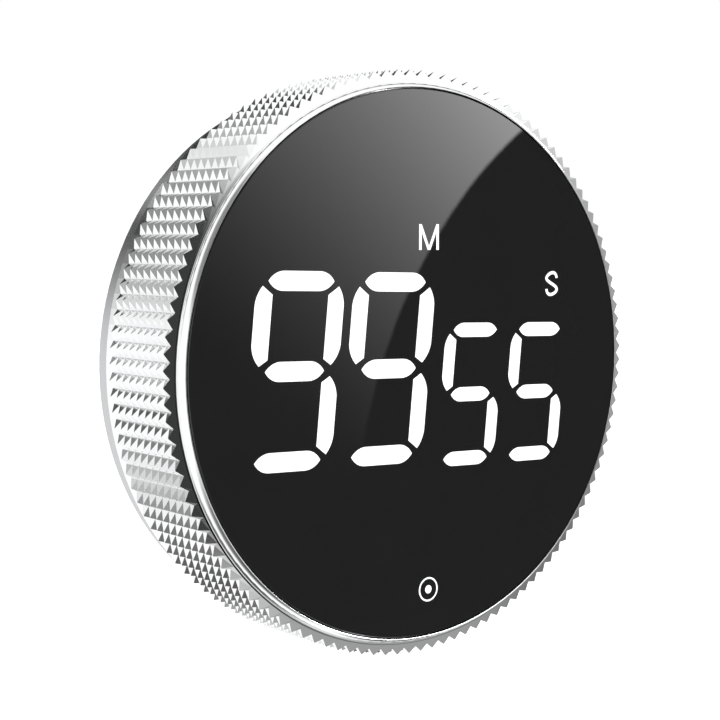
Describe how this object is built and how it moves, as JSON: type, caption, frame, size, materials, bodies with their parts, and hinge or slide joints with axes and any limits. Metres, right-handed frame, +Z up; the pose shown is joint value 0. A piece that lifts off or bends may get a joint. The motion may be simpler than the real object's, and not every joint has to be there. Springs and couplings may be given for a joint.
{
  "type": "kitchen timer",
  "caption": "Round countdown timer: knurled dial ring around a fixed black lens with lit seven-segment digits, magnetic back, battery cover and volume slide switch.",
  "frame": {"origin": "centre of the flat rear resting face, on the dial ring's axis", "axes": "+Z up the display, +X to the right of somebody facing the lens, -Y out of the lens, +Y out of the rear face"},
  "size_m": [0.078, 0.027, 0.078],
  "materials": {
    "ring_aluminium": "diamond-turned knurl, polished lip",
    "case_grey": "satin moulded, silver effect",
    "frame_black": "satin moulded",
    "lens_black": "mirror gloss",
    "smoked_window": "mirror gloss",
    "lit_window": "lit from behind, gloss",
    "tape": "foam tape",
    "film": "frosted film",
    "reflector_white": "white moulded",
    "board_green": "solder mask",
    "led_white": "LED package",
    "chip_black": "moulded package",
    "component_tan": "ceramic chip parts",
    "connector_cream": "moulded nylon",
    "encoder_black": "moulded",
    "foam_grey": "open foam",
    "switch_steel": "plated shell",
    "cell_jacket": "printed jacket, plain",
    "contact_nickel": "nickel-plated spring steel",
    "magnet_nickel": "nickel plated",
    "silicone_grey": "matte silicone",
    "screw_steel": "zinc plated",
    "gear_white": "natural acetal",
    "shaft_steel": "ground",
    "knob_dark": "satin moulded"
  },
  "bodies": {
    "case": {"rear_case": "case_grey", "mid_frame": "frame_black", "front_lens": "lens_black", "lens_adhesive": "tape", "minute_digits": "lit_window", "second_digits": "lit_window", "unlit_segments": "smoked_window", "minute_mark": "lit_window", "second_mark": "lit_window", "touch_mark": "lit_window", "diffuser_film": "film", "reflector_block": "reflector_white", "display_board": "board_green", "segment_leds": "led_white", "main_board": "board_green", "control_chip": "chip_black", "board_parts": "component_tan", "board_connector": "connector_cream", "encoder_body": "encoder_black", "buzzer": "chip_black", "touch_pad": "foam_grey", "volume_switch": "switch_steel", "battery_cell_1": "cell_jacket", "battery_cell_2": "cell_jacket", "battery_cell_3": "cell_jacket", "contacts_top": "contact_nickel", "contacts_bottom": "contact_nickel", "magnet_left": "magnet_nickel", "magnet_right": "magnet_nickel", "grip_pad_top": "silicone_grey", "grip_pad_bottom": "silicone_grey", "case_screws": "screw_steel"},
    "dial": {"dial_ring": "ring_aluminium", "ring_gear": "gear_white"},
    "pinion": {"encoder_pinion": "gear_white", "encoder_shaft": "shaft_steel"},
    "volume": {"volume_knob": "knob_dark", "switch_lever": "knob_dark"},
    "cover": {"battery_cover": "case_grey", "cover_foam": "foam_grey"}
  },
  "joints": [
    {"name": "dial_turn", "type": "hinge", "parent": "case", "child": "dial", "pos_m": [0, -0.017, 0], "axis": [0, 1, 0], "continuous": true},
    {"name": "pinion_spin", "type": "hinge", "parent": "case", "child": "pinion", "pos_m": [-0.0288, -0.0177, 0], "axis": [0, 1, 0], "continuous": true},
    {"name": "volume_slide", "type": "slide", "parent": "case", "child": "volume", "axis": [0, 0, 1], "range_m": [-0.0015, 0.0015]},
    {"name": "cover_tilt", "type": "hinge", "parent": "case", "child": "cover", "pos_m": [0, -0.00015, -0.0254], "axis": [-1, 0, 0], "range_deg": [0, 60]}
  ],
  "couplings": [
    {"joint": "pinion_spin", "follows": "dial_turn", "ratio": 7}
  ]
}
